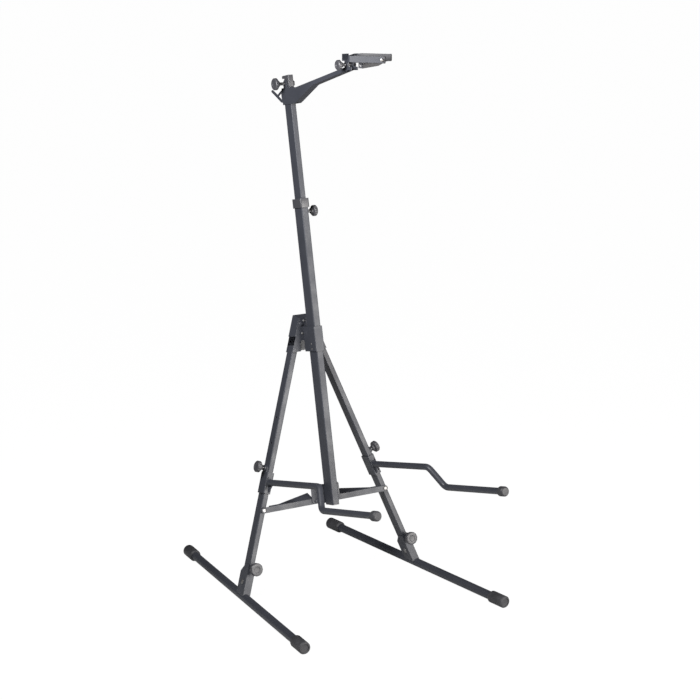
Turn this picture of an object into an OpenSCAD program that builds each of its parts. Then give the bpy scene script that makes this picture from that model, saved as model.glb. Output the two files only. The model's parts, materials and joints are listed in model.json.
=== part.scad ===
// Folding floor stand for an upright string instrument: a tall sliding mast
// with a neck yoke, two spread legs on swivelling foot bars, and two arms.
// All lengths are millimetres. The instrument stands on the -Y side.

/* [Posture] */
// backward lean of the plane that holds the post and both legs, degrees
lean = 11.67; // [5:0.01:20]
// half the distance between the two foot bars at the floor
foot_half_span = 261.2; // [200:0.1:320]
// outward turn of each foot bar, degrees
toe_out = 5.05; // [0:0.01:10]

/* [Foot bars] */
// diameter of a foot bar
bar_d = 22; // [18:0.5:28]
// full length of a foot bar with its caps
bar_length = 777.2; // [500:0.1:900]
// how far the middle of a foot bar lies behind its leg
bar_back = 4.1; // [0:0.1:40]
// diameter of a rubber foot cap
foot_cap_d = 31.6; // [26:0.1:36]
// length of a rubber foot cap
foot_cap_length = 56; // [30:1:80]

/* [Legs] */
// half the distance between the two leg pivots
leg_pivot_x = 17.49; // [16:0.01:22]
// width of a leg across the frame
leg_w = 15; // [12:1:25]
// depth of a leg from front to back
leg_depth = 30; // [20:1:40]
// height of the leg pivots along the frame
leg_pivot_up = 680; // [600:1:760]
// distance of a foot pivot above the middle of its foot bar, along the leg
foot_pivot_up = 37.1; // [30:0.1:50]

/* [Post and mast] */
// width of the post across the frame
post_w = 20; // [15:1:30]
// depth of the post from front to back
post_depth = 40; // [30:1:50]
// distance of the middle of the post in front of the legs
post_forward = 54.1; // [40:0.1:70]
// lower end of the post along the frame
post_low = 205; // [150:1:300]
// upper end of the post along the frame
post_high = 985; // [800:1:1100]
// width of the mast across the frame
mast_w = 15; // [10:1:25]
// depth of the mast from front to back
mast_depth = 35; // [25:1:45]
// lower end of the mast, inside the post
mast_low = 701; // [600:1:800]
// upper end of the mast tube
mast_high = 1293; // [1200:1:1400]

/* [Support arms] */
// height of an arm on its leg, along the frame
arm_up = 282.4; // [200:0.1:400]
// diameter of an arm
arm_d = 16.5; // [12:0.5:22]
// length of an arm before its drop
arm_root_length = 269; // [150:1:350]
// rise of an arm above the frame normal, degrees
arm_rise = 1.5; // [0:0.01:5]
// outward part of the drop
arm_drop_out = 21.7; // [0:0.1:40]
// downward part of the drop
arm_drop_down = 54.4; // [20:0.1:90]
// length of an arm after its drop
arm_tip_length = 263; // [150:1:350]

/* [Neck yoke] */
// swivel of the yoke towards +X, degrees
yoke_turn = 45; // [0:1:90]
// dip of the yoke below the frame normal, degrees
yoke_dip = 12; // [-20:1:30]
// clear gap between the prongs, without pads
yoke_gap = 68; // [50:1:90]
// length of a prong from the swivel pin
yoke_reach = 81; // [70:1:140]
// height of the yoke strip
yoke_h = 15; // [12:1:30]

/* [Hidden] */
$fn = 64;
// each rubber cap has a narrow flat below, so that the bars do not rock
foot_flat = 0.6;
// depth of the end of a foot bar inside its cap, from the rim of the cap
foot_cap_floor = 4;
foot_axis_z = foot_cap_d / 2 - foot_flat;
// forward shift of the whole stand that puts the middle of its depth on Y = 0
frame_shift_y = 70.41;
// sideways slope of a leg, and its angle
leg_slope = (foot_half_span - leg_pivot_x) / leg_pivot_up;
leg_angle = atan(leg_slope);
leg_reach = leg_pivot_up / cos(leg_angle);
foot_pivot_t = leg_reach - foot_pivot_up;
// height of a foot knob above its pivot, along the leg
foot_knob_up = 37;
// walls of the tubes and thickness of the sheet parts
wall = 1.5;
plate = 2;
// outer corner radii of the tubes
post_corner = 3;
mast_corner = 2.5;
leg_corner = 2.5;
// bolts, their holes, and the gap between pieces that pass each other
bolt_r = 4;
hole_r = 4.08;
slack = 0.3;
post_front = post_forward + post_depth / 2;
post_back = post_forward - post_depth / 2;
mast_front = post_forward + mast_depth / 2;
// knobs: diameter and height of each head, and height of the neck below it
knob_neck_h = 6;
mast_knob_d = 29;
mast_knob_h = 10;
head_knob_d = 31;
yoke_knob_d = 25;
head_knob_h = 9;
arm_knob_d = 30;
foot_knob_d = 34;
leg_knob_h = 11;
// braces
brace_lift = 8;
brace_up = post_low + brace_lift;
brace_inner_x = 28.4;
brace_outer_x = foot_half_span - leg_slope * brace_up;
brace_h = 15;
brace_t = 2.5;
brace_back = 18.1;
brace_front = brace_back + brace_t;
// flange on top of a brace: its distance from both bolts, its depth at the post, its slope,
// and how far from the outer bolt it stays in front of the leg
flange_inner_gap = 9;
flange_outer_gap = 17;
flange_wide = 33;
flange_slope = 25;
flange_narrow = (brace_front - leg_depth / 2 - 0.5) / cos(flange_slope);
flange_narrow_reach = 46;
// bracket of the braces, measured from their inner bolts
bracket_rise = 43;
bracket_drop = 7;
bracket_bolt_rise = 35;
bracket_half_w = 42;
bracket_channel = 15;
bracket_back = brace_front + slack;
// hub, measured from the leg pivots
hub_gap = 1.5;
hub_skirt = 71;
hub_notch_drop = 43;
hub_notch_r = 9.5;
hub_notch_x = 16.5;
hub_flange_drop = 36;
hub_rise_front = 16;
hub_rise_back = 24;
hub_front = leg_depth / 2 + hub_gap;
hub_low = leg_pivot_up - hub_skirt;
hub_notch_up = leg_pivot_up - hub_notch_drop;
hub_top_front = leg_pivot_up + hub_rise_front;
hub_top_back = leg_pivot_up + hub_rise_back;
// sleeve of the hub, with its glides
sleeve_drop = 73;
sleeve_length = 65;
sleeve_low = leg_pivot_up - sleeve_drop;
glide_t = 0.5;
glide_length = 50;
sleeve_side = post_w / 2 + slack + glide_t + plate;
// mast knob and collar, measured from the top of the post
mast_knob_drop = 14;
mast_knob_up = post_high - mast_knob_drop;
collar_drop = 4;
collar_length = 24;
collar_rim = 3;
collar_depth = 45;
// arm clamps, measured along the leg from the arm
arm_t = (leg_pivot_up - arm_up) / cos(leg_angle);
clamp_above = 26.4;
clamp_below = 29.6;
clamp_knob_above = 35.4;
clamp_ear_r = 11;
clamp_top_t = arm_t - clamp_above;
clamp_low_t = arm_t + clamp_below;
clamp_knob_t = arm_t - clamp_knob_above;
clamp_wall = 2.5;
clamp_x = leg_w / 2 + slack + clamp_wall;
clamp_f = leg_depth / 2 + slack + clamp_wall;
arm_bend_r = 22;
// the cosine and sine of the bend, 0.5376 and 0.8432, have no further digits
arm_bend = acos(0.5376);
arm_bend_lead = arm_bend_r * tan(arm_bend / 2);
arm_drop = norm([arm_drop_out, arm_drop_down]);
arm_middle = arm_drop / sin(arm_bend) - 2 * arm_bend_lead;
arm_cap_d = 25;
arm_cap_length = 22;
// head arm: forward places from the middle of the legs, heights from the top of the mast
head_inner_x = mast_w / 2 + 0.2;
head_x = head_inner_x + plate;
head_back_f = 33;
head_heel_f = 102;
head_web_f = 196;
head_tip_f = 394;
head_heel_drop = 43;
head_web_drop = 10.5;
head_neck_rise = 4;
head_tip_rise = 9;
head_rim_drop = 5.5;
head_ear_r = 10;
head_knob_f = 55;
head_knob_rise = 10;
head_knob_up = mast_high + head_knob_rise;
// yoke: places of its tilt bolt and its swivel pin
yoke_bolt_f = 370;
yoke_bolt_rise = 18.5;
yoke_bolt_up = mast_high + yoke_bolt_rise;
yoke_pin_f = 395;
yoke_pin_rise = 24;
yoke_pin_up = mast_high + yoke_pin_rise;
yoke_pin_r = 3;
yoke_back = 8;
yoke_corner = 9;
prong_t = 3;
pad_t = 6;
// strap of the yoke: its thickness, and the place and length of its lug
strap_t = 2.4;
strap_root_r = 10;
strap_root_f = 14;
strap_lug_length = 10;
strap_drop = 18;
// distance of a knob's neck from the middle of the stand
head_knob_x = 28;
yoke_knob_x = 20;
mast_knob_x = 26;
arm_knob_x = 21;
foot_knob_f = 31;

black_paint = [0.14, 0.14, 0.15];
black_rubber = [0.05, 0.05, 0.055];
black_plastic = [0.07, 0.07, 0.075];
zinc = [0.7, 0.7, 0.72];

// Frames of reference

// the plane of the post and legs: x sideways, -y forward, z up along the post
module leaning() {
  translate([0, frame_shift_y, foot_axis_z])
    rotate([-lean, 0, 0])
      children();
}

// a place in the leaning frame, given as sideways, forward and up
module at(x, forward, up) {
  translate([x, -forward, up])
    children();
}

// side = 1 keeps a right-hand piece, side = -1 makes its left-hand twin
module handed(side) {
  if (side < 0)
    mirror([1, 0, 0])
      children();
  else
    children();
}

// the right leg: x outward, -y forward, z up the leg, origin at the leg pivot
module leg_frame() {
  leaning()
    at(leg_pivot_x, 0, leg_pivot_up)
      rotate([0, -leg_angle, 0])
        children();
}

// the right foot bar: z forward along the bar, origin above the foot
module bar_frame() {
  translate([foot_half_span, frame_shift_y, foot_axis_z])
    rotate([0, 0, toe_out])
      translate([0, bar_back, 0])
        rotate([90, 0, 0])
          children();
}

// the yoke: x to its right, -y along the prongs, z up along the swivel pin
module yoke_frame() {
  leaning()
    at(0, yoke_pin_f, yoke_pin_up)
      rotate([yoke_dip, 0, 0])
        rotate([0, 0, yoke_turn])
          children();
}

// Shared shapes

module rounded_rect(w, d, r) {
  square([w - 2 * r, d], center = true);
  square([w, d - 2 * r], center = true);
  for (x = [-1, 1], y = [-1, 1])
    translate([x * (w / 2 - r), y * (d / 2 - r)])
      circle(r);
}

module box_tube(w, d, r, thickness, length) {
  linear_extrude(length)
    difference() {
      rounded_rect(w, d, r);
      rounded_rect(w - 2 * thickness, d - 2 * thickness, r - thickness / 2);
    }
}

// a cylinder along x, centred
module rod_x(r, length) {
  rotate([0, 90, 0])
    cylinder(r = r, h = length, center = true);
}

// a cylinder along y, centred
module rod_y(r, length) {
  rotate([90, 0, 0])
    cylinder(r = r, h = length, center = true);
}

// a profile given as [forward, up] points, made into a plate that is w wide
module side_plate(points, w) {
  rotate([90, 0, -90])
    linear_extrude(w, center = true)
      polygon(points);
}

// a domed rivet head that stands up along z
module rivet_head(r, h) {
  rotate_extrude()
    polygon([[0, 0], [r, 0], [r, h * 0.4], [r * 0.72, h * 0.85], [r * 0.35, h], [0, h]]);
}

// a hexagon head or nut that stands up along z
module hex_head(r, h) {
  cylinder(r = r, h = h, $fn = 6);
}

// a scalloped hand knob along z, its neck at z = 0
module knob(d, head_h) {
  r = d / 2;
  top = knob_neck_h + head_h;
  difference() {
    rotate_extrude()
      polygon([
        [bolt_r, 0], [r * 0.5, 0], [r * 0.56, knob_neck_h - 1], [r - 1.5, knob_neck_h],
        [r, knob_neck_h + 1.5], [r, top - 2], [r - 2, top], [r * 0.5, top],
        [r * 0.42, top - 1], [0, top - 1], [0, top - 5], [bolt_r, top - 5]
      ]);
    for (i = [0 : 11])
      rotate([0, 0, 30 * i])
        translate([r + 1.7, 0, knob_neck_h - 1])
          cylinder(r = 2.6, h = head_h + 2);
  }
}

// the screw of a hand knob, from its tip at z = -tip to the seat inside the knob
module knob_screw(tip, head_h) {
  translate([0, 0, -tip])
    cylinder(r1 = bolt_r - 0.8, r2 = bolt_r, h = 0.8);
  translate([0, 0, 0.8 - tip])
    cylinder(r = bolt_r, h = tip + knob_neck_h + head_h - 5 - 0.8);
}

// a knob screw that runs through both cheeks of the head arm to a nut;
// out is the distance of the knob's neck from the middle of the arm
module through_screw(out, head_h) {
  translate([0, 0, -out - head_x - 7])
    cylinder(r = bolt_r, h = out + head_x + 7 + knob_neck_h + head_h - 5);
  translate([0, 0, -out - head_x - slack - 6])
    hex_head(7.5, 6);
}

// Post

module post_tube() {
  color(black_paint)
    leaning()
      difference() {
        at(0, post_forward, post_low)
          box_tube(post_w, post_depth, post_corner, wall, post_high - post_low);
        at(post_w / 2, post_forward, mast_knob_up)
          rod_x(hole_r, 8);
      }
}

// the inside of the post, seen from above
module post_bore() {
  rounded_rect(post_w - 2 * wall, post_depth - 2 * wall, post_corner - wall / 2);
}

module post_foot_plug() {
  cover = 3;
  depth = 16;
  color(black_plastic)
    leaning() {
      at(0, post_forward, post_low - cover)
        linear_extrude(cover)
          rounded_rect(post_w, post_depth, post_corner);
      at(0, post_forward, post_low)
        linear_extrude(depth)
          post_bore();
    }
}

module post_collar() {
  color(black_plastic)
    leaning()
      difference() {
        union() {
          at(0, post_forward, post_high - collar_drop)
            linear_extrude(collar_length)
              rounded_rect(post_w + 2 * collar_rim, post_depth + 2 * collar_rim, post_corner + 1);
          at(0, post_forward, post_high - collar_depth)
            linear_extrude(collar_depth)
              post_bore();
        }
        // room for the wall of the post
        difference() {
          at(0, post_forward, post_high - collar_drop - 1)
            linear_extrude(collar_drop + 1)
              rounded_rect(post_w, post_depth, post_corner);
          at(0, post_forward, post_high - collar_drop - 2)
            linear_extrude(collar_drop + 3)
              post_bore();
        }
        at(0, post_forward, post_high - collar_depth - 1)
          linear_extrude(collar_depth + collar_length)
            rounded_rect(mast_w + 2 * slack, mast_depth + 2 * slack, mast_corner);
        at(post_w / 2, post_forward, mast_knob_up)
          rod_x(hole_r, 10);
      }
}

module mast_knob_nut() {
  color(black_paint)
    leaning()
      at(post_w / 2, post_forward, mast_knob_up)
        rotate([0, 90, 0])
          difference() {
            cylinder(r = 8, h = 6);
            translate([0, 0, -1])
              cylinder(r = hole_r, h = 8);
          }
}

// Brace bracket behind the lower end of the post

// a hat channel that is open to the rear, with its wings beside the post
module bracket_section() {
  tip = bracket_half_w;
  out = bracket_channel;
  in = bracket_channel - plate;
  wing = bracket_back;
  polygon([
    [-tip, -wing], [-in, -wing], [-in, -post_back + plate], [in, -post_back + plate],
    [in, -wing], [tip, -wing], [tip, -wing - plate], [out, -wing - plate],
    [out, -post_back], [-out, -post_back], [-out, -wing - plate], [-tip, -wing - plate]
  ]);
}

module brace_bracket() {
  corner_cut = 8;
  color(black_paint)
    leaning()
      difference() {
        at(0, 0, brace_up - bracket_drop)
          linear_extrude(bracket_drop + bracket_rise)
            bracket_section();
        for (side = [-1, 1]) {
          at(side * brace_inner_x, bracket_back, brace_up)
            rod_y(hole_r, 10);
          at(side * brace_inner_x, bracket_back, brace_up + bracket_bolt_rise)
            rod_y(hole_r - 1, 10);
          for (rise = [-bracket_drop, bracket_rise])
            at(side * bracket_half_w, bracket_back, brace_up + rise)
              rotate([0, 45, 0])
                cube([corner_cut, 10, corner_cut], center = true);
        }
      }
}

module bracket_bolts() {
  color(zinc)
    leaning()
      for (side = [-1, 1]) {
        at(side * brace_inner_x, bracket_back + plate, brace_up)
          rotate([90, 0, 0])
            rivet_head(6.5, 2.6);
        at(side * brace_inner_x, bracket_back + plate, brace_up)
          rotate([-90, 0, 0])
            cylinder(r = bolt_r, h = bracket_back + plate - brace_back + 3);
        at(side * brace_inner_x, brace_back - slack, brace_up)
          rotate([-90, 0, 0])
            cylinder(r = 7, h = 2.7);
        // the upper rivets end flush, so that a folded brace passes behind them
        at(side * brace_inner_x, bracket_back + plate, brace_up + bracket_bolt_rise) {
          rotate([90, 0, 0])
            rivet_head(5.5, 2.4);
          rotate([-90, 0, 0])
            cylinder(r = bolt_r - 1, h = plate);
        }
      }
}

// Hub that rides on the post

// half width of the hub at a height: it follows the outer face of an open leg
function leg_outside(up) = foot_half_span - leg_slope * up + (leg_w / 2 + slack) / cos(leg_angle);

module hub_outline(extra) {
  top = hub_top_back + 10;
  polygon([
    [leg_outside(top) + extra, top], [-leg_outside(top) - extra, top],
    [-leg_outside(hub_low) - extra, hub_low], [leg_outside(hub_low) + extra, hub_low]
  ]);
}

module hub_bracket() {
  notch_centre_up = hub_notch_up - hub_notch_r;
  color(black_paint)
    leaning()
      difference() {
        intersection() {
          rotate([90, 0, 0])
            linear_extrude(2 * hub_front + 2 * plate, center = true)
              hub_outline(plate / cos(leg_angle));
          side_plate([
            [hub_front + plate, hub_low], [hub_front + plate, hub_top_front],
            [-hub_front - plate, hub_top_back], [-hub_front - plate, hub_low]
          ], 200);
        }
        intersection() {
          rotate([90, 0, 0])
            linear_extrude(2 * hub_front, center = true)
              hub_outline(0);
          side_plate([
            [hub_front, hub_low - 1], [hub_front, hub_top_front - plate],
            [-hub_front, hub_top_back - plate], [-hub_front, hub_low - 1]
          ], 200);
        }
        // below its side flanges the hub is flush with the outside of the legs
        for (side = [-1, 1])
          at(side * leg_pivot_x, 0, leg_pivot_up)
            rotate([0, -side * leg_angle, 0])
              translate([side * (leg_w / 2 + slack + hub_skirt), 0, -hub_flange_drop - hub_skirt])
                cube([2 * hub_skirt, 2 * leg_depth, 2 * hub_skirt], center = true);
        // notches with round tops between the tabs and the middle tongue
        for (side = [-1, 1]) {
          at(side * hub_notch_x, 0, notch_centre_up)
            rod_y(hub_notch_r, 2 * leg_depth);
          at(side * hub_notch_x, 0, hub_low)
            cube([2 * hub_notch_r, 2 * leg_depth, 2 * (notch_centre_up - hub_low)], center = true);
          at(side * leg_pivot_x, 0, leg_pivot_up)
            rod_y(hole_r, 2 * leg_depth);
        }
      }
}

module hub_sleeve() {
  color(black_paint)
    leaning()
      at(0, 0, sleeve_low)
        linear_extrude(sleeve_length)
          polygon([
            [-sleeve_side, -hub_front - plate], [-sleeve_side + plate, -hub_front - plate],
            [-sleeve_side + plate, -post_front - slack], [sleeve_side - plate, -post_front - slack],
            [sleeve_side - plate, -hub_front - plate], [sleeve_side, -hub_front - plate],
            [sleeve_side, -post_front - slack - 0.5], [sleeve_side - 1.5, -post_front - slack - plate],
            [-sleeve_side + 1.5, -post_front - slack - plate], [-sleeve_side, -post_front - slack - 0.5]
          ]);
}

module hub_glides() {
  color(black_plastic)
    leaning()
      for (side = [-1, 1])
        at(side * (post_w / 2 + slack + glide_t / 2), post_forward, sleeve_low + sleeve_length / 2)
          cube([glide_t, post_depth - 8, glide_length], center = true);
}

module hub_rivets() {
  rivet_r = 3;
  color(zinc)
    leaning() {
      for (side = [-1, 1], rise = [6, 20])
        at(side * sleeve_side, post_forward, sleeve_low + rise)
          rotate([0, side * 90, 0])
            rivet_head(rivet_r, 1.3);
      for (side = [-1, 1], place = [[8, 8], [sleeve_side + rivet_r + slack, -25]])
        at(side * place[0], hub_front + plate, leg_pivot_up + place[1])
          rotate([90, 0, 0])
            rivet_head(rivet_r, 1.4);
    }
}

module leg_pivot_bolts() {
  color(zinc)
    leaning()
      for (side = [-1, 1])
        at(side * leg_pivot_x, 0, leg_pivot_up) {
          rod_y(bolt_r, 2 * (hub_front + plate) + 0.2);
          translate([0, -hub_front - plate, 0])
            rotate([90, 0, 0])
              rivet_head(6.5, 2.4);
          translate([0, hub_front + plate, 0])
            rotate([-90, 0, 0])
              hex_head(7, 5);
        }
}

// Mast

module mast_tube() {
  color(black_paint)
    leaning()
      at(0, post_forward, mast_low)
        box_tube(mast_w, mast_depth, mast_corner, wall, mast_high - mast_low);
}

// a plug with a narrower neck between the cheeks of the head arm and a cap above them
module mast_top_plug() {
  neck = mast_depth - 11;
  neck_length = 24;
  cap_length = 7;
  root_length = 26;
  color(black_plastic)
    leaning()
      difference() {
        union() {
          at(0, post_forward, mast_high - root_length)
            linear_extrude(root_length)
              rounded_rect(mast_w - 2 * wall, mast_depth - 2 * wall, mast_corner - wall / 2);
          at(0, mast_front - neck / 2, mast_high)
            linear_extrude(neck_length)
              rounded_rect(mast_w, neck, mast_corner);
          at(0, post_forward, mast_high + neck_length)
            linear_extrude(cap_length)
              rounded_rect(mast_w, mast_depth, mast_corner);
        }
        at(0, head_knob_f, head_knob_up)
          rod_x(hole_r, 40);
      }
}

module mast_knob_place() {
  leaning()
    at(mast_knob_x, post_forward, mast_knob_up)
      rotate([0, 90, 0])
        children();
}

module mast_knob() {
  color(black_plastic)
    mast_knob_place()
      knob(mast_knob_d, mast_knob_h);
}

module mast_knob_screw() {
  color(zinc)
    mast_knob_place()
      knob_screw(mast_knob_x - mast_w / 2 - slack, mast_knob_h);
}

// Head arm with its bow hook

// profile of the head arm: forward places, and heights above the top of the mast
module head_profile() {
  low = -head_heel_drop;
  ear_back = head_knob_f - head_ear_r;
  ear_front = head_knob_f + head_ear_r;
  side_plate([
    [head_back_f, low], [head_heel_f - 7, low - 2], [head_heel_f, low], [head_web_f, -head_web_drop],
    [yoke_bolt_f + 4, head_neck_rise], [head_tip_f - 1, head_tip_rise - 7.5],
    [head_tip_f, head_tip_rise], [yoke_bolt_f + 7, head_tip_rise + 5],
    [head_heel_f + 5, -head_rim_drop], [ear_front, -1], [ear_front, head_knob_rise],
    [ear_back, head_knob_rise], [ear_back, 0], [head_back_f, 0]
  ], 2 * head_x);
}

// room inside the channel, which is open on top, around the mast and at its tip
module head_room() {
  low = -head_heel_drop;
  web = plate + 0.1;
  web_end_f = yoke_bolt_f - 18;
  open_f = head_tip_f + 16;
  below = -5;
  above = 2 * yoke_pin_rise;
  side_plate([
    [0, low - 10], [head_heel_f - 3, low - 10], [head_heel_f - 3, low + 1],
    [head_heel_f, low + web], [head_web_f, web - head_web_drop], [web_end_f, head_neck_rise + 0.2],
    [web_end_f + 8, below], [open_f, below], [open_f, above], [0, above]
  ], 2 * head_inner_x);
}

module head_arm() {
  neck_r = 8.5;
  color(black_paint)
    leaning()
      difference() {
        union() {
          at(0, 0, mast_high)
            head_profile();
          at(0, head_knob_f, head_knob_up)
            rod_x(head_ear_r, 2 * head_x);
          at(0, yoke_bolt_f, yoke_bolt_up)
            rod_x(neck_r, 2 * head_x);
        }
        at(0, 0, mast_high)
          head_room();
        at(0, head_knob_f, head_knob_up)
          rod_x(hole_r, 4 * head_x);
        at(0, yoke_bolt_f, yoke_bolt_up)
          rod_x(hole_r, 4 * head_x);
      }
}

// a flat strip hook with a triangular window; its points are measured back from the head arm
// and up from the top of the mast
module bow_hook() {
  color(black_paint)
    leaning()
      at(plate / 2 - head_x, head_back_f, mast_high)
        difference() {
          side_plate([
            [0, -37], [0, -4], [-11, -8], [-25, -14], [-50, 2], [-56, 0.5],
            [-55.5, -3], [-31, -19.5], [-9, -35]
          ], plate);
          side_plate([[-4, -30], [-4, -11], [-20.5, -18]], 3 * plate);
        }
}

module head_knob_place() {
  leaning()
    at(-head_knob_x, head_knob_f, head_knob_up)
      rotate([0, -90, 0])
        children();
}

module head_knob() {
  color(black_plastic)
    head_knob_place()
      knob(head_knob_d, head_knob_h);
}

module head_knob_screw() {
  color(zinc)
    head_knob_place()
      through_screw(head_knob_x, head_knob_h);
}

// Neck yoke

module yoke_bracket() {
  ear_x = head_inner_x - slack;
  // reach of the bracket behind and before the swivel pin
  behind = 43;
  before = 11;
  color(black_paint)
    leaning()
      difference() {
        union() {
          at(0, yoke_bolt_f, yoke_bolt_up)
            rod_x(7.5, 2 * ear_x);
          side_plate([
            [yoke_bolt_f - 7.5, yoke_bolt_up], [yoke_bolt_f + 7.5, yoke_bolt_up],
            [yoke_bolt_f + 9, yoke_bolt_up + 6], [yoke_bolt_f - 9, yoke_bolt_up + 10]
          ], 2 * ear_x);
          at(0, yoke_pin_f, yoke_pin_up)
            rotate([yoke_dip, 0, 0])
              translate([0, 0, -slack - 2.5]) {
                translate([-ear_x, 0, 0])
                  cube([2 * ear_x, behind, 2.5]);
                cylinder(r = before, h = 2.5);
                translate([-9, behind - 2.5, 0])
                  cube([18, 2.5, 17]);
              }
        }
        at(0, yoke_bolt_f, yoke_bolt_up)
          rod_x(hole_r, 40);
        at(0, yoke_pin_f, yoke_pin_up)
          rotate([yoke_dip, 0, 0])
            translate([0, 0, -6])
              cylinder(r = yoke_pin_r + 0.08, h = 10);
        // the ears are two cheeks with a gap between them
        side_plate([
          [yoke_bolt_f - 12, yoke_bolt_up - 12], [yoke_bolt_f + 12, yoke_bolt_up - 12],
          [yoke_bolt_f + 12, yoke_bolt_up + 4.5], [yoke_bolt_f - 12, yoke_bolt_up + 9]
        ], 2 * (ear_x - 2.5));
      }
}

module yoke_knob_place() {
  leaning()
    at(-yoke_knob_x, yoke_bolt_f, yoke_bolt_up)
      rotate([0, -90, 0])
        children();
}

module yoke_knob() {
  color(black_plastic)
    yoke_knob_place()
      knob(yoke_knob_d, head_knob_h);
}

module yoke_knob_screw() {
  color(zinc)
    yoke_knob_place()
      through_screw(yoke_knob_x, head_knob_h);
}

// half of the yoke strip seen from above: r is the outer half width
module yoke_half(r, back, corner, thickness) {
  translate([r - thickness, -yoke_reach])
    square([thickness, yoke_reach - corner + back]);
  translate([r - corner, back - corner])
    intersection() {
      difference() {
        circle(corner);
        circle(corner - thickness);
      }
      square(corner + 1);
    }
  translate([0, back - thickness])
    square([r - corner, thickness]);
}

module yoke_fork() {
  half = yoke_gap / 2 + prong_t;
  lug_f = strap_root_f + strap_lug_length / 2;
  color(black_paint)
    yoke_frame()
      difference() {
        union() {
          linear_extrude(yoke_h)
            for (side = [-1, 1])
              scale([side, 1])
                yoke_half(half, yoke_back, yoke_corner, prong_t);
          // tongue that joins the strip to the swivel pin
          linear_extrude(plate)
            translate([-10, 0])
              square([20, yoke_back - 1]);
          cylinder(r = 10, h = plate);
          rivet_head(6, 4.5);
          // swivel pin with its riveted end below the bracket
          translate([0, 0, -4.5])
            cylinder(r = yoke_pin_r, h = 5.5);
          translate([0, 0, -5.5])
            cylinder(r = 5, h = 2.4);
          // lug that holds the root of the strap
          translate([strap_root_r - plate - slack, -lug_f, -strap_drop])
            cube([plate, strap_lug_length, strap_drop + plate]);
          translate([0, -lug_f, 0])
            cube([strap_root_r - slack, lug_f, plate]);
        }
        for (side = [-1, 1])
          translate([side * half, -yoke_reach + 3, yoke_h / 2])
            rod_x(2.05, 10);
        translate([strap_root_r, -strap_root_f, -strap_drop + 6])
          rod_x(2.05, 10);
      }
}

module yoke_pads() {
  color(black_rubber)
    yoke_frame()
      for (side = [-1, 1])
        scale([side, 1, 1])
          difference() {
            union() {
              translate([yoke_gap / 2 - pad_t, -yoke_reach - 4, -1])
                cube([pad_t, yoke_reach - 4, yoke_h + 2]);
              translate([yoke_gap / 2 - 0.01, -yoke_reach - 4, -1])
                cube([prong_t, 3.9, yoke_h + 2]);
            }
            translate([yoke_gap / 2, -yoke_reach + 3, yoke_h / 2])
              rod_x(2.05, 2);
          }
}

module yoke_strap_studs() {
  color(zinc)
    yoke_frame() {
      for (side = [-1, 1])
        translate([side * (yoke_gap / 2 + 0.5), -yoke_reach + 3, yoke_h / 2])
          rotate([0, side * 90, 0]) {
            cylinder(r = 2, h = prong_t + 3);
            translate([0, 0, prong_t + 3])
              rivet_head(4, 2);
          }
      translate([strap_root_r - plate - slack, -strap_root_f, -strap_drop + 6])
        rotate([0, 90, 0])
          cylinder(r = 2, h = plate + slack + strap_t + 0.5);
      translate([strap_root_r + strap_t + 0.5, -strap_root_f, -strap_drop + 6])
        rotate([0, 90, 0])
          rivet_head(4, 2);
    }
}

// rubber strap that hangs slack under the fork, from its lug to the right prong
module yoke_strap() {
  tip_r = yoke_gap / 2 + prong_t + slack;
  tip_f = yoke_reach + 4;
  turn_f = yoke_reach - 16;
  root_back_f = strap_root_f - strap_lug_length / 2;
  root_front_f = strap_root_f + strap_lug_length / 2;
  // the strap is beside the prong before it rises past its lower edge
  beside_f = turn_f - 5;
  color(black_rubber)
    yoke_frame()
      difference() {
        intersection() {
          linear_extrude(100, center = true)
            polygon([
              [strap_root_r, -root_back_f], [strap_root_r + strap_t, -root_back_f],
              [strap_root_r + strap_t, -root_front_f - 0.3], [tip_r + strap_t, -beside_f],
              [tip_r + strap_t, -tip_f], [tip_r, -tip_f], [tip_r, -beside_f - 0.8],
              [strap_root_r, -root_front_f - 0.8]
            ]);
          side_plate([
            [root_back_f - 1, -8], [root_back_f - 1, -strap_drop],
            [root_front_f, -strap_drop - 1], [32, -strap_drop + 1],
            [turn_f - 12, -13.5], [turn_f + 6, -3], [tip_f, 0], [tip_f + 1, 14],
            [turn_f + 4, 12], [turn_f - 3, -1.6], [32, -4], [root_front_f, -6]
          ], 200);
        }
        translate([tip_r, -yoke_reach + 3, yoke_h / 2])
          rod_x(2.05, 10);
        translate([strap_root_r, -strap_root_f, -strap_drop + 6])
          rod_x(2.05, 10);
      }
}

// One leg with what it carries, right-hand

module leg_tube() {
  // the top is rounded, so that it turns inside the hub when the leg closes
  top_r = leg_w / 2 + 0.1;
  // heights of the small locating holes along the frame
  locating_holes = [251, 313, 379, 443];
  color(black_paint)
    leg_frame()
      difference() {
        intersection() {
          translate([0, 0, -foot_pivot_t - leg_depth])
            box_tube(leg_w, leg_depth, leg_corner, wall, foot_pivot_t + 2 * leg_depth);
          union() {
            rod_y(top_r, 2 * leg_depth);
            translate([0, 0, -foot_pivot_t / 2])
              cube([2 * leg_w, 2 * leg_depth, foot_pivot_t], center = true);
            translate([0, 0, -foot_pivot_t])
              rod_x(leg_depth / 2, 2 * leg_w);
          }
        }
        rod_y(hole_r, 2 * leg_depth);
        translate([0, 0, -foot_pivot_t])
          rod_x(hole_r, 2 * leg_w);
        for (up = locating_holes)
          translate([leg_w / 2, 0, (up - leg_pivot_up) / cos(leg_angle)])
            rod_x(2.8, 6);
      }
}

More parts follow.
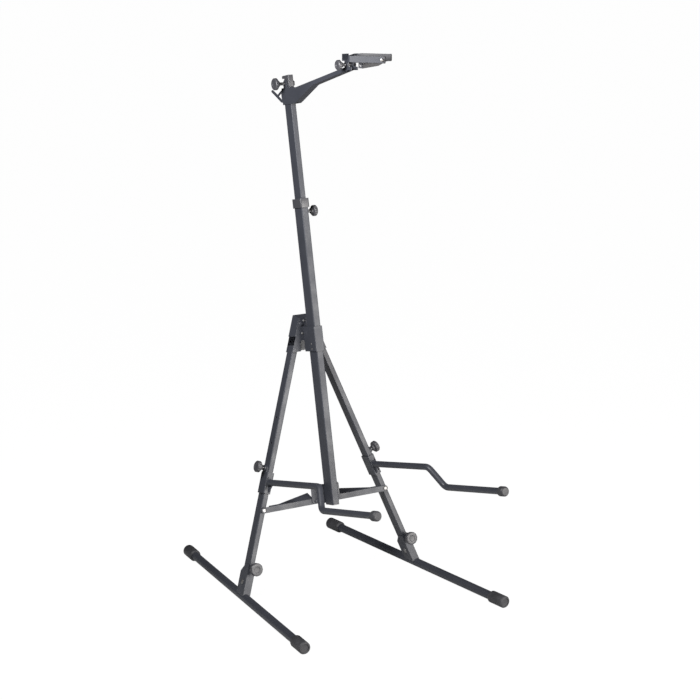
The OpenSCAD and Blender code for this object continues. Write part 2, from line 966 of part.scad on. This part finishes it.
module brace() {
  flange_inner = brace_inner_x + flange_inner_gap;
  flange_outer = brace_outer_x - flange_outer_gap;
  color(black_paint)
    leaning()
      difference() {
        union() {
          at(brace_inner_x, brace_front, brace_up)
            rotate([-90, 0, 0])
              cylinder(r = brace_h / 2, h = brace_t);
          at(brace_outer_x, brace_front, brace_up)
            rotate([-90, 0, 0])
              cylinder(r = brace_h / 2, h = brace_t);
          at((brace_inner_x + brace_outer_x) / 2, (brace_front + brace_back) / 2, brace_up)
            cube([brace_outer_x - brace_inner_x, brace_t, brace_h], center = true);
          // the flange slopes up to the rear and is narrow near the leg, which it crosses in the fold
          at(0, brace_front, brace_up + brace_h / 2 - plate)
            rotate([flange_slope, 0, 0])
              linear_extrude(plate)
                polygon([
                  [flange_inner, 0.7], [flange_outer, 0.7],
                  [flange_outer, flange_narrow],
                  [brace_outer_x - flange_narrow_reach, flange_narrow],
                  [flange_inner, flange_wide]
                ]);
        }
        at(brace_inner_x, brace_front, brace_up)
          rod_y(hole_r, 20);
        at(brace_outer_x, brace_front, brace_up)
          rod_y(3, 20);
      }
}

module brace_bolt() {
  color(zinc)
    leaning()
      at(brace_outer_x, brace_front, brace_up) {
        rotate([90, 0, 0])
          rivet_head(6, 2.4);
        rotate([-90, 0, 0])
          cylinder(r = 3, h = brace_front - leg_depth / 2 - slack);
      }
}

module arm_clamp_sleeve() {
  length = clamp_above + clamp_below;
  boss_r = 8;
  boss_h = 5;
  slot_w = 2.2;
  slot_length = 35;
  difference() {
    union() {
      difference() {
        translate([0, 0, -clamp_low_t])
          linear_extrude(length)
            rounded_rect(2 * clamp_x, 2 * clamp_f, 3);
        translate([0, 0, -clamp_low_t - 1])
          linear_extrude(length + 2)
            rounded_rect(leg_w + 2 * slack, leg_depth + 2 * slack, 2.2);
      }
      // ear for the knob, on the outer face
      translate([clamp_x - clamp_wall, -clamp_ear_r, -clamp_top_t - 1])
        cube([clamp_wall, 2 * clamp_ear_r, clamp_top_t - clamp_knob_t + 1]);
      translate([clamp_x - clamp_wall, 0, -clamp_knob_t])
        rotate([0, 90, 0])
          cylinder(r = clamp_ear_r, h = clamp_wall);
      translate([clamp_x, 0, -clamp_knob_t])
        rotate([0, 90, 0])
          cylinder(r = boss_r, h = boss_h);
    }
    translate([clamp_x, 0, -clamp_knob_t])
      rod_x(hole_r, 30);
    // slot that lets the clamp close on the leg
    translate([leg_w / 2 - plate, -clamp_f, -clamp_low_t + slot_length - 9])
      cube([slot_w, 8, slot_length], center = true);
  }
}

// a small plate below the root of the arm, cut to the underside of the tube
module arm_gusset() {
  reach = 14;
  drop = 27;
  thickness = 4;
  difference() {
    leg_frame()
      translate([-3.5, 0, 0])
        side_plate([
          [clamp_f - 0.5, -arm_t - 5], [clamp_f + reach, -arm_t - 5],
          [clamp_f - 0.5, -arm_t - drop]
        ], thickness);
    arm_frame()
      translate([0, 0, -clamp_wall])
        cylinder(r = arm_d / 2 + 0.05, h = arm_root_length / 2);
  }
}

module arm_clamp() {
  color(black_paint)
    union() {
      leg_frame()
        arm_clamp_sleeve();
      arm_gusset();
    }
}

// carries a shape round one bend, from its start to its end
module past_bend() {
  translate([arm_bend_r, 0, 0])
    rotate([0, arm_bend, 0])
      translate([-arm_bend_r, 0, 0])
        children();
}

// a bend that starts at the origin along z and turns towards +x
module rod_bend(r) {
  reach = 3 * arm_bend_r;
  intersection() {
    translate([arm_bend_r, 0, 0])
      rotate([90, 0, 0])
        rotate_extrude()
          translate([arm_bend_r, 0])
            circle(r);
    translate([-arm_bend_r, -arm_bend_r, 0])
      cube([2 * reach, 2 * arm_bend_r, reach]);
    past_bend()
      translate([-arm_bend_r, -arm_bend_r, -reach])
        cube([2 * reach, 2 * arm_bend_r, reach]);
  }
}

// a bent rod that starts along z and drops towards +x
module bent_rod(r, before, after) {
  translate([0, 0, -before])
    cylinder(r = r, h = arm_root_length - arm_bend_lead + before);
  translate([0, 0, arm_root_length - arm_bend_lead]) {
    rod_bend(r);
    past_bend() {
      cylinder(r = r, h = arm_middle);
      translate([0, 0, arm_middle])
        rotate([0, 0, 180]) {
          rod_bend(r);
          past_bend()
            cylinder(r = r, h = arm_tip_length - arm_bend_lead + after);
        }
    }
  }
}

// start of an arm: z forward, x along the drop, which leans outward
module arm_frame() {
  leaning()
    at(foot_half_span - leg_slope * arm_up, clamp_f, arm_up)
      rotate([90 - arm_rise, 0, 0])
        rotate([0, 0, -atan2(arm_drop_down, arm_drop_out)])
          children();
}

module support_arm() {
  color(black_paint)
    difference() {
      arm_frame()
        difference() {
          bent_rod(arm_d / 2, 1, 0);
          bent_rod(arm_d / 2 - wall, 2, 1);
        }
      // the root is cut flush with the front of the clamp
      leaning()
        at(foot_half_span - leg_slope * arm_up, clamp_f - 10, arm_up)
          cube([40, 20, 40], center = true);
    }
}

// end of an arm: z forward
module arm_end_frame() {
  arm_frame()
    translate([arm_drop, 0, arm_root_length + arm_drop / tan(arm_bend) + arm_tip_length])
      children();
}

module arm_cap() {
  color(black_rubber)
    arm_end_frame()
      rotate_extrude()
        polygon([
          [arm_d / 2, 4 - arm_cap_length], [arm_cap_d / 2 - 1.5, 4 - arm_cap_length],
          [arm_cap_d / 2, 6 - arm_cap_length], [arm_cap_d / 2, 0], [arm_cap_d / 2 - 3, 4],
          [0, 4], [0, 0], [arm_d / 2, 0]
        ]);
}

module arm_knob_place() {
  leg_frame()
    translate([arm_knob_x, 0, -clamp_knob_t])
      rotate([0, 90, 0])
        children();
}

module arm_knob() {
  color(black_plastic)
    arm_knob_place()
      knob(arm_knob_d, leg_knob_h);
}

module arm_knob_screw() {
  color(zinc)
    arm_knob_place()
      knob_screw(arm_knob_x - leg_w / 2 - slack, leg_knob_h);
}

// Foot

module foot_bar() {
  color(black_paint)
    bar_frame()
      difference() {
        cylinder(r = bar_d / 2, h = bar_length - 2 * foot_cap_floor, center = true);
        cylinder(r = bar_d / 2 - wall, h = bar_length, center = true);
      }
}

module foot_bracket() {
  web = leg_depth / 2 + slack;
  // reach of the side plates behind the leg, and height above the foot pivot
  back = 22;
  height = 46;
  corner_cut = 26;
  shoulder = 3;
  color(black_paint)
    difference() {
      leg_frame()
        difference() {
          translate([-clamp_x, -web - clamp_wall, -leg_reach])
            cube([2 * clamp_x, web + clamp_wall + back, foot_pivot_up + height]);
          translate([-leg_w / 2 - slack, -web, -leg_reach - 10])
            cube([leg_w + 2 * slack, web + 2 * back, foot_pivot_up + 2 * height]);
          translate([0, 0, -foot_pivot_t])
            rod_x(bolt_r, 4 * clamp_x);
          translate([0, -web, -foot_pivot_t + foot_knob_up])
            rod_y(hole_r, 20);
          // the back corners of the side plates are cut off
          translate([0, back, -foot_pivot_t + height])
            rotate([45, 0, 0])
              cube([4 * clamp_x, corner_cut, corner_cut], center = true);
        }
      bar_frame()
        cylinder(r = bar_d / 2, h = bar_length / 2, center = true);
      // nothing reaches below the shoulders of the bar
      translate([foot_half_span, frame_shift_y, foot_axis_z + shoulder - 2 * bar_d])
        cube([4 * bar_d, 4 * bar_d, 4 * bar_d], center = true);
    }
}

module foot_cap_profile() {
  r = foot_cap_d / 2;
  rotate_extrude()
    polygon([
      [bar_d / 2, -foot_cap_length], [r - 2.5, -foot_cap_length], [r, 4 - foot_cap_length],
      [r, -3], [r - 3, 0], [r - 5, 0], [r - 5.5, -2.4], [0, -2.4],
      [0, -foot_cap_floor], [bar_d / 2, -foot_cap_floor]
    ]);
}

module foot_caps() {
  color(black_rubber)
    difference() {
      bar_frame()
        for (end = [0, 1])
          rotate([180 * end, 0, 0])
            translate([0, 0, bar_length / 2])
              foot_cap_profile();
      translate([0, 0, -foot_cap_d])
        cube([4 * foot_half_span, 2 * bar_length, 2 * foot_cap_d], center = true);
    }
}

module foot_pivot() {
  color(zinc)
    leg_frame()
      translate([0, 0, -foot_pivot_t]) {
        rod_x(bolt_r, 2 * clamp_x);
        translate([clamp_x, 0, 0])
          rotate([0, 90, 0])
            rivet_head(6.5, 2.6);
        translate([-clamp_x, 0, 0])
          rotate([0, -90, 0])
            rivet_head(6.5, 2.6);
      }
}

module foot_knob_place() {
  leg_frame()
    translate([0, -foot_knob_f, -foot_pivot_t + foot_knob_up])
      rotate([90, 0, 0])
        children();
}

module foot_knob() {
  color(black_plastic)
    foot_knob_place()
      knob(foot_knob_d, leg_knob_h);
}

module foot_knob_screw() {
  color(zinc)
    foot_knob_place()
      knob_screw(foot_knob_f - leg_depth / 2 - 2 * slack, leg_knob_h);
}

// Nodes

post_tube();
post_foot_plug();
post_collar();
mast_knob_nut();
brace_bracket();
bracket_bolts();
hub_bracket();
hub_sleeve();
hub_glides();
hub_rivets();
leg_pivot_bolts();
mast_tube();
mast_top_plug();
mast_knob();
mast_knob_screw();
head_arm();
bow_hook();
head_knob();
head_knob_screw();
yoke_bracket();
yoke_knob();
yoke_knob_screw();
yoke_fork();
yoke_pads();
yoke_strap();
yoke_strap_studs();
handed(-1) leg_tube();  // left_leg
handed(-1) brace();  // left_brace
handed(-1) brace_bolt();  // left_brace_bolt
handed(-1) arm_clamp();  // left_arm_clamp
handed(-1) support_arm();  // left_arm
handed(-1) arm_cap();  // left_arm_cap
handed(-1) arm_knob();  // left_arm_knob
handed(-1) arm_knob_screw();  // left_arm_knob_screw
handed(-1) foot_bar();  // left_foot_bar
handed(-1) foot_bracket();  // left_foot_bracket
handed(-1) foot_caps();  // left_foot_caps
handed(-1) foot_pivot();  // left_foot_pivot
handed(-1) foot_knob();  // left_foot_knob
handed(-1) foot_knob_screw();  // left_foot_knob_screw
handed(1) leg_tube();  // right_leg
handed(1) brace();  // right_brace
handed(1) brace_bolt();  // right_brace_bolt
handed(1) arm_clamp();  // right_arm_clamp
handed(1) support_arm();  // right_arm
handed(1) arm_cap();  // right_arm_cap
handed(1) arm_knob();  // right_arm_knob
handed(1) arm_knob_screw();  // right_arm_knob_screw
handed(1) foot_bar();  // right_foot_bar
handed(1) foot_bracket();  // right_foot_bracket
handed(1) foot_caps();  // right_foot_caps
handed(1) foot_pivot();  // right_foot_pivot
handed(1) foot_knob();  // right_foot_knob
handed(1) foot_knob_screw();  // right_foot_knob_screw
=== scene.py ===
"""Looks of the folding instrument stand: finishes, rounded edges, weld beads and the studio."""

import json
import math

import bmesh
import bpy
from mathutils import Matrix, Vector

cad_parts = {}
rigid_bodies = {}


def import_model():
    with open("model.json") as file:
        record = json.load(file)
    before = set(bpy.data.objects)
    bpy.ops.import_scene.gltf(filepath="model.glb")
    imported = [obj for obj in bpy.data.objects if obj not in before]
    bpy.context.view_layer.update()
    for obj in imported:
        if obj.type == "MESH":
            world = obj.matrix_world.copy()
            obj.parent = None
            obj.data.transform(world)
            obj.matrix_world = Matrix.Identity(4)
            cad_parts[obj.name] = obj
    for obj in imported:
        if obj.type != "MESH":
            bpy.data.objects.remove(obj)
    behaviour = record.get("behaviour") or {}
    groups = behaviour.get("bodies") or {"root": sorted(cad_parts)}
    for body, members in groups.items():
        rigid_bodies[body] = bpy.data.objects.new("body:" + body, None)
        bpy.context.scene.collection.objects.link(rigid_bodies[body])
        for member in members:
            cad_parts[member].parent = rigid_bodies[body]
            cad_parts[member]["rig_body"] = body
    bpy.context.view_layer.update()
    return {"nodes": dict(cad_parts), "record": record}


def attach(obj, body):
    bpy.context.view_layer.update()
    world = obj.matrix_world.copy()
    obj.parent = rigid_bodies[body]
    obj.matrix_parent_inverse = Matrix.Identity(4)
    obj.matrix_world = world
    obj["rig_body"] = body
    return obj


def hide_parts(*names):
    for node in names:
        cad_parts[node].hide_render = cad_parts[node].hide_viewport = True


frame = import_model()

NODES = frame["nodes"]
SIDES = ("left", "right")

# Lean and place of the post's frame, in degrees and metres
LEAN = 11.67
SHIFT_Y = 0.07041
AXIS_Z = 0.0152

# Welds: places in that frame as sideways, forward and up, then radii and beads, in metres and degrees
ARM_ROOT = (0.15999, 0.0178, 0.2824)
ARM_RADIUS = 0.00825
ARM_RISE = 1.5
ARM_BEAD = 0.0021
ARM_RIPPLES = 22
NUT = (0.010, 0.0541, 0.971)
NUT_RADIUS = 0.008
NUT_BEAD = 0.0013
NUT_RIPPLES = 18

# Mesh of a weld bead, and how much its ripples and a slower unevenness swell it
BEAD_SIDES = 10
STEPS_PER_RIPPLE = 6
RIPPLE_SWELL = 0.16
UNEVEN_SWELL = 0.07
UNEVEN_WAVES = 5.0

# Widths of rounded edges, in metres
PAD_EDGE = 0.0022
STRAP_EDGE = 0.0008
COLLAR_EDGE = 0.0012
PLUG_EDGE = 0.0010
KNOB_EDGE = 0.0008
CAP_EDGE = 0.0016

# Angles between faces, in degrees: rounded above the first, drawn sharp above the second,
# taken as flat below the third; points closer than the last, in metres, are one
ROUNDED_FROM = 30.0
SHARP_FROM = 40.0
FLAT_WITHIN = 0.8
SAME_POINT = 1e-6

# Camera of the photograph, in metres and degrees
VIEW_TARGET = Vector((0.0604, 0.0704, 0.630))
VIEW_AZIMUTH = -30.89
VIEW_ELEVATION = 13.68
VIEW_DISTANCE = 4.878
FOCAL_PIXELS = 1882.4
IMAGE_PIXELS = 700
SENSOR_MM = 36.0

# Level of the surroundings, side of the floor in metres, and share and strength of the plain white
# that the camera sees in it
AMBIENT = 0.04
FLOOR_SIDE = 60.0
FLOOR_WHITE = 0.95
FLOOR_GLOW = 1.04

# Colours of the lamps
WARM_LIGHT = (1.0, 0.975, 0.94)
WHITE_LIGHT = (1.0, 1.0, 1.0)

# Finishes, linear colours
PAINT = (0.030, 0.032, 0.040)
PAINT_WORN = (0.085, 0.085, 0.092)
RUBBER = (0.024, 0.024, 0.027)
PLASTIC = (0.038, 0.038, 0.043)
ZINC = (0.26, 0.26, 0.27)
ZINC_DULL = (0.21, 0.20, 0.185)
BLACK_STEEL = (0.085, 0.085, 0.09)
FLOOR = (0.62, 0.62, 0.62)

# Cosines between flat and rounded normals at which an edge begins to show and shows in full
EDGE_BEGINS = 0.995
EDGE_FULL = 0.90


# Shader helpers


class Shader:
    """A material with short calls to add and join nodes."""

    def __init__(self, name):
        self.material = bpy.data.materials.new(name)
        self.material.use_nodes = True
        self.tree = self.material.node_tree
        self.surface = self.tree.nodes["Principled BSDF"]
        self.output = self.tree.nodes["Material Output"]
        self.coords = self.add("ShaderNodeTexCoord").outputs["Object"]

    def add(self, kind, **settings):
        node = self.tree.nodes.new(kind)
        for key, value in settings.items():
            setattr(node, key, value)
        return node

    def join(self, source, target):
        self.tree.links.new(source, target)

    def noise(self, scale, detail=3.0, roughness=0.5):
        node = self.add("ShaderNodeTexNoise")
        node.inputs["Scale"].default_value = scale
        node.inputs["Detail"].default_value = detail
        node.inputs["Roughness"].default_value = roughness
        self.join(self.coords, node.inputs["Vector"])
        return node.outputs["Fac"]

    def spread(self, source, low, high, new_low, new_high):
        """The range low to high of a value, mapped to new_low to new_high."""
        node = self.add("ShaderNodeMapRange")
        node.inputs["From Min"].default_value = low
        node.inputs["From Max"].default_value = high
        node.inputs["To Min"].default_value = new_low
        node.inputs["To Max"].default_value = new_high
        self.join(source, node.inputs["Value"])
        return node.outputs["Result"]

    def times(self, source, factor):
        node = self.add("ShaderNodeMath", operation="MULTIPLY")
        self.join(source, node.inputs[0])
        if isinstance(factor, float):
            node.inputs[1].default_value = factor
        else:
            self.join(factor, node.inputs[1])
        return node.outputs["Value"]

    def blend(self, factor, a, b):
        node = self.add("ShaderNodeMix", data_type="RGBA")
        self.join(factor, node.inputs["Factor"])
        for socket, value in ((node.inputs["A"], a), (node.inputs["B"], b)):
            if isinstance(value, tuple):
                socket.default_value = (*value, 1.0)
            else:
                self.join(value, socket)
        return node.outputs["Result"]

    def edges(self, radius):
        """Normals rounded at the edges, and a mask that is 1 on them."""
        bevel = self.add("ShaderNodeBevel", samples=4)
        bevel.inputs["Radius"].default_value = radius
        flat = self.add("ShaderNodeNewGeometry").outputs["True Normal"]
        dot = self.add("ShaderNodeVectorMath", operation="DOT_PRODUCT")
        self.join(bevel.outputs["Normal"], dot.inputs[0])
        self.join(flat, dot.inputs[1])
        mask = self.spread(dot.outputs["Value"], EDGE_BEGINS, EDGE_FULL, 0.0, 1.0)
        return bevel.outputs["Normal"], mask

    def bump(self, height, normal, strength, distance):
        node = self.add("ShaderNodeBump")
        node.inputs["Strength"].default_value = strength
        node.inputs["Distance"].default_value = distance
        self.join(height, node.inputs["Height"])
        self.join(normal, node.inputs["Normal"])
        self.join(node.outputs["Normal"], self.surface.inputs["Normal"])

    def set(self, **values):
        for key, value in values.items():
            self.surface.inputs[key.replace("_", " ")].default_value = value

    def colour(self, source):
        self.join(source, self.surface.inputs["Base Color"])

    def rough(self, source):
        self.join(source, self.surface.inputs["Roughness"])


def tone(colour, factor):
    return tuple(channel * factor for channel in colour)


# Materials


def powder_coat():
    """Satin black powder coat: a fine orange peel, faint patches, and rubbed edges."""
    shader = Shader("powder_coat")
    normal, edge = shader.edges(radius=0.0009)
    patches = shader.spread(shader.noise(scale=7.0, detail=5.0), 0.35, 0.65, 0.0, 1.0)
    grain = shader.noise(scale=1400.0, detail=2.0)
    base = shader.blend(patches, tone(PAINT, 0.9), tone(PAINT, 1.12))
    speckle = shader.spread(grain, 0.30, 0.72, 0.0, 1.0)
    base = shader.blend(shader.times(speckle, 0.22), base, tone(PAINT, 1.5))
    wear = shader.spread(shader.noise(scale=60.0, detail=4.0), 0.42, 0.62, 0.15, 0.7)
    shader.colour(shader.blend(shader.times(edge, wear), base, PAINT_WORN))
    shader.rough(shader.spread(shader.noise(scale=22.0, detail=4.0), 0.3, 0.7, 0.40, 0.54))
    shader.set(Specular_IOR_Level=0.36)
    shader.bump(grain, normal, strength=0.16, distance=0.0004)
    return shader.material


def rubber():
    """Moulded black rubber with a dusty bloom."""
    shader = Shader("rubber")
    normal, edge = shader.edges(radius=0.0012)
    bloom = shader.spread(shader.noise(scale=26.0, detail=6.0, roughness=0.6), 0.40, 0.72, 0.0, 1.0)
    base = shader.blend(bloom, RUBBER, tone(RUBBER, 1.9))
    shader.colour(shader.blend(shader.times(edge, 0.35), base, tone(RUBBER, 2.4)))
    shader.rough(shader.spread(bloom, 0.0, 1.0, 0.50, 0.72))
    shader.set(Specular_IOR_Level=0.40)
    shader.bump(shader.noise(scale=900.0), normal, strength=0.22, distance=0.0003)
    return shader.material


def plastic():
    """Fine-grained moulded plastic of the knobs, plugs and the collar."""
    shader = Shader("plastic")
    normal, edge = shader.edges(radius=0.0008)
    grain = shader.noise(scale=2200.0, detail=2.0)
    fleck = shader.spread(grain, 0.3, 0.7, 0.0, 1.0)
    base = shader.blend(fleck, tone(PLASTIC, 0.8), tone(PLASTIC, 1.35))
    shader.colour(shader.blend(shader.times(edge, 0.5), base, tone(PLASTIC, 2.6)))
    shader.rough(shader.spread(shader.noise(scale=40.0), 0.3, 0.7, 0.38, 0.50))
    shader.set(Specular_IOR_Level=0.45)
    shader.bump(grain, normal, strength=0.20, distance=0.0003)
    return shader.material


def black_steel():
    """Blackened steel of the knob screws, brighter where the threads rub."""
    shader = Shader("black_steel")
    normal, edge = shader.edges(radius=0.0005)
    rubbed = shader.spread(shader.noise(scale=240.0, detail=4.0), 0.45, 0.75, 0.0, 0.6)
    base = shader.blend(rubbed, BLACK_STEEL, tone(BLACK_STEEL, 1.8))
    shader.colour(shader.blend(edge, base, tone(BLACK_STEEL, 2.6)))
    shader.rough(shader.spread(rubbed, 0.0, 0.6, 0.45, 0.34))
    shader.set(Metallic=0.7)
    shader.bump(shader.noise(scale=900.0), normal, strength=0.10, distance=0.0002)
    return shader.material


def zinc():
    """Zinc-plated steel of the bolts and rivets."""
    shader = Shader("zinc")
    normal, edge = shader.edges(radius=0.0005)
    cloud = shader.spread(shader.noise(scale=160.0, detail=5.0), 0.35, 0.7, 0.0, 1.0)
    base = shader.blend(cloud, ZINC, ZINC_DULL)
    shader.colour(shader.blend(edge, base, tone(ZINC, 1.3)))
    shader.rough(shader.spread(cloud, 0.0, 1.0, 0.40, 0.54))
    shader.set(Metallic=1.0)
    shader.bump(shader.noise(scale=700.0), normal, strength=0.08, distance=0.0002)
    return shader.material


MATERIALS = {
    "powder_coat": powder_coat(),
    "rubber": rubber(),
    "plastic": plastic(),
    "zinc": zinc(),
    "black_steel": black_steel(),
}


def dress_nodes():
    """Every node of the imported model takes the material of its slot."""
    for part in frame["record"]["subparts"]:
        mesh = NODES[part["node"]].data
        mesh.materials.clear()
        mesh.materials.append(MATERIALS[part["material_slot"]])


# Pieces that stand for a node, with rounded edges


def rounded(name, node, slot, width, segments=3):
    """A copy of a node whose sharp edges are rounded; it replaces the node."""
    mesh = NODES[node].data.copy()
    mesh.name = name
    work = bmesh.new()
    work.from_mesh(mesh)
    bmesh.ops.remove_doubles(work, verts=work.verts, dist=SAME_POINT)
    bmesh.ops.dissolve_limit(
        work, angle_limit=math.radians(FLAT_WITHIN), verts=work.verts, edges=work.edges,
        use_dissolve_boundaries=False
    )
    limit = math.radians(ROUNDED_FROM)
    edges = [edge for edge in work.edges if edge.is_manifold and edge.calc_face_angle() > limit]
    bmesh.ops.bevel(
        work, geom=edges, offset=width, offset_type="OFFSET", segments=segments, profile=0.5,
        affect="EDGES", clamp_overlap=True
    )
    work.to_mesh(mesh)
    work.free()
    mesh.materials.clear()
    mesh.materials.append(MATERIALS[slot])
    mesh.shade_smooth()
    mesh.set_sharp_from_angle(angle=math.radians(SHARP_FROM))
    piece = bpy.data.objects.new(name, mesh)
    bpy.context.scene.collection.objects.link(piece)
    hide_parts(node)
    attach(piece, NODES[node]["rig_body"])


def rounded_pieces():
    rounded("neck_pads", "yoke_pads", "rubber", PAD_EDGE, segments=4)
    rounded("neck_strap", "yoke_strap", "rubber", STRAP_EDGE, segments=2)
    rounded("collar", "post_collar", "plastic", COLLAR_EDGE)
    rounded("mast_cap", "mast_top_plug", "plastic", PLUG_EDGE)
    rounded("mast_grip", "mast_knob", "plastic", KNOB_EDGE)
    rounded("head_grip", "head_knob", "plastic", KNOB_EDGE)
    rounded("yoke_grip", "yoke_knob", "plastic", KNOB_EDGE)
    for side in SIDES:
        rounded(f"{side}_foot_rubbers", f"{side}_foot_caps", "rubber", CAP_EDGE, segments=4)
        rounded(f"{side}_arm_rubber", f"{side}_arm_cap", "rubber", CAP_EDGE, segments=4)
        rounded(f"{side}_arm_grip", f"{side}_arm_knob", "plastic", KNOB_EDGE)
        rounded(f"{side}_foot_grip", f"{side}_foot_knob", "plastic", KNOB_EDGE)


# Weld beads


def leaning(x, forward, up):
    """A direction given sideways, forward and up in the leaning frame."""
    lean = math.radians(LEAN)
    return Vector((
        x,
        up * math.sin(lean) - forward * math.cos(lean),
        up * math.cos(lean) + forward * math.sin(lean),
    ))


def place(x, forward, up):
    """A place given sideways, forward and up in the leaning frame."""
    return Vector((0.0, SHIFT_Y, AXIS_Z)) + leaning(x, forward, up)


def weld_ring(name, body, centre, axis, radius, bead, ripples):
    """A rippled weld bead round the root of a tube or nut."""
    around = ripples * STEPS_PER_RIPPLE
    across = BEAD_SIDES
    turn = axis.to_track_quat("Z", "Y")
    mesh = bpy.data.meshes.new(name)
    points = []
    for i in range(around):
        angle = 2.0 * math.pi * i / around
        ripple = (
            1.0 + RIPPLE_SWELL * math.cos(ripples * angle)
            + UNEVEN_SWELL * math.sin(UNEVEN_WAVES * angle)
        )
        for j in range(across):
            section = 2.0 * math.pi * j / across
            out = radius + bead * ripple * math.cos(section)
            rise = bead * ripple * math.sin(section)
            points.append(centre + turn @ Vector((out * math.cos(angle), out * math.sin(angle), rise)))
    faces = []
    for i in range(around):
        for j in range(across):
            next_i = (i + 1) % around
            next_j = (j + 1) % across
            faces.append((
                i * across + j, next_i * across + j, next_i * across + next_j, i * across + next_j
            ))
    mesh.from_pydata([tuple(point) for point in points], [], faces)
    mesh.shade_smooth()
    mesh.materials.append(MATERIALS["powder_coat"])
    piece = bpy.data.objects.new(name, mesh)
    bpy.context.scene.collection.objects.link(piece)
    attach(piece, body)


def welds():
    x, forward, up = ARM_ROOT
    rise = math.radians(ARM_RISE)
    arm_axis = leaning(0.0, math.cos(rise), math.sin(rise))
    for side, sign in zip(SIDES, (-1.0, 1.0)):
        weld_ring(
            f"{side}_arm_weld", f"{side}_arm_clamp", place(sign * x, forward, up), arm_axis,
            ARM_RADIUS, ARM_BEAD, ARM_RIPPLES
        )
    sideways = Vector((1.0, 0.0, 0.0))
    weld_ring("nut_weld", "post", place(*NUT), sideways, NUT_RADIUS, NUT_BEAD, NUT_RIPPLES)


# Studio


def floor():
    """A pale floor; the camera sees it nearly white, with a faint shadow."""
    bpy.ops.mesh.primitive_plane_add(size=FLOOR_SIDE)
    plane = bpy.context.object
    plane.name = "floor"
    shader = Shader("floor")
    grain = shader.spread(shader.noise(scale=3.0, detail=4.0), 0.3, 0.7, 0.985, 1.0)
    shader.colour(shader.blend(grain, tone(FLOOR, 0.97), FLOOR))
    shader.rough(shader.spread(grain, 0.985, 1.0, 0.86, 0.92))
    shader.set(Specular_IOR_Level=0.1)
    white = shader.add("ShaderNodeEmission")
    white.inputs["Strength"].default_value = FLOOR_GLOW
    rays = shader.add("ShaderNodeLightPath")
    share = shader.times(rays.outputs["Is Camera Ray"], FLOOR_WHITE)
    mix = shader.add("ShaderNodeMixShader")
    shader.join(share, mix.inputs["Fac"])
    shader.join(shader.surface.outputs["BSDF"], mix.inputs[1])
    shader.join(white.outputs["Emission"], mix.inputs[2])
    shader.join(mix.outputs["Shader"], shader.output.inputs["Surface"])
    plane.data.materials.append(shader.material)


def world():
    """Dim, even surroundings; the camera sees them white."""
    studio = bpy.data.worlds.new("studio")
    bpy.context.scene.world = studio
    studio.use_nodes = True
    tree = studio.node_tree
    background = tree.nodes["Background"]
    background.inputs["Color"].default_value = (1.0, 1.0, 1.0, 1.0)
    rays = tree.nodes.new("ShaderNodeLightPath")
    level = tree.nodes.new("ShaderNodeMapRange")
    level.inputs["To Min"].default_value = AMBIENT
    level.inputs["To Max"].default_value = 1.0
    tree.links.new(rays.outputs["Is Camera Ray"], level.inputs["Value"])
    tree.links.new(level.outputs["Result"], background.inputs["Strength"])


def lamp(name, spot, aim, width, height, watts, colour):
    light = bpy.data.lights.new(name, "AREA")
    light.color = colour
    light.shape = "RECTANGLE"
    light.size = width
    light.size_y = height
    light.energy = watts
    lamp_object = bpy.data.objects.new(name, light)
    bpy.context.scene.collection.objects.link(lamp_object)
    lamp_object.location = spot
    lamp_object.rotation_euler = (Vector(aim) - Vector(spot)).to_track_quat("-Z", "Y").to_euler()


def lamps():
    lamp(
        "front", spot=(1.5, -3.3, 0.9), aim=(0.0, 0.0, 0.7), width=2.2, height=1.6,
        watts=205.0, colour=WARM_LIGHT
    )
    lamp(
        "upper_left", spot=(-1.2, -0.5, 1.75), aim=(0.0, 0.1, 1.3), width=0.6, height=0.6,
        watts=58.0, colour=WHITE_LIGHT
    )


def camera():
    """The camera that the photograph was taken with, as solved from its straight edges."""
    data = bpy.data.cameras.new("camera")
    data.sensor_fit = "HORIZONTAL"
    data.sensor_width = SENSOR_MM
    data.lens = FOCAL_PIXELS / IMAGE_PIXELS * SENSOR_MM
    eye = bpy.data.objects.new("camera", data)
    bpy.context.scene.collection.objects.link(eye)
    a = math.radians(VIEW_AZIMUTH)
    e = math.radians(VIEW_ELEVATION)
    back = Vector((math.sin(a) * math.cos(e), -math.cos(a) * math.cos(e), math.sin(e)))
    eye.location = VIEW_TARGET + VIEW_DISTANCE * back
    eye.rotation_euler = back.to_track_quat("Z", "Y").to_euler()
    bpy.context.scene.camera = eye


dress_nodes()
rounded_pieces()
welds()
floor()
world()
lamps()
camera()
bpy.context.scene.view_settings.view_transform = "Standard"
